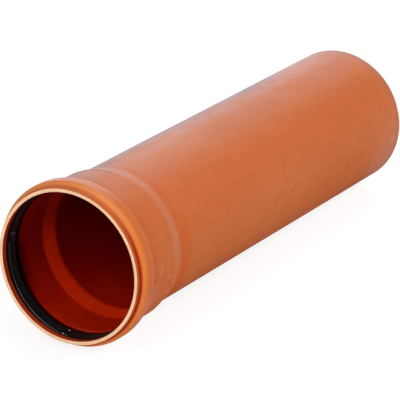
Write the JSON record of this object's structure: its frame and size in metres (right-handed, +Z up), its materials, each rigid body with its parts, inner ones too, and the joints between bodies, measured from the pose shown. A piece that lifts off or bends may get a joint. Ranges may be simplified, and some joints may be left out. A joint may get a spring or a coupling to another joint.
{
  "type": "socketed sewer pipe",
  "caption": "Straight orange-brown PVC-U drain pipe with a belled socket, a bead holding a rubber lip seal, and a chamfered spigot.",
  "frame": {"origin": "bottom centre of the bounding box, on the ground that the pipe lies on", "axes": "+X along the pipe, from the mouth of the socket to the spigot end; +Z up. The pipe's axis dips 1.073 degrees below +X, because it lies on its bead and on its spigot"},
  "size_m": [0.598, 0.1814, 0.1815],
  "materials": {
    "pvc": "satin",
    "seal_rubber": "smooth"
  },
  "bodies": {
    "root": {"pipe": "pvc", "seal_ring": "seal_rubber"}
  },
  "joints": []
}
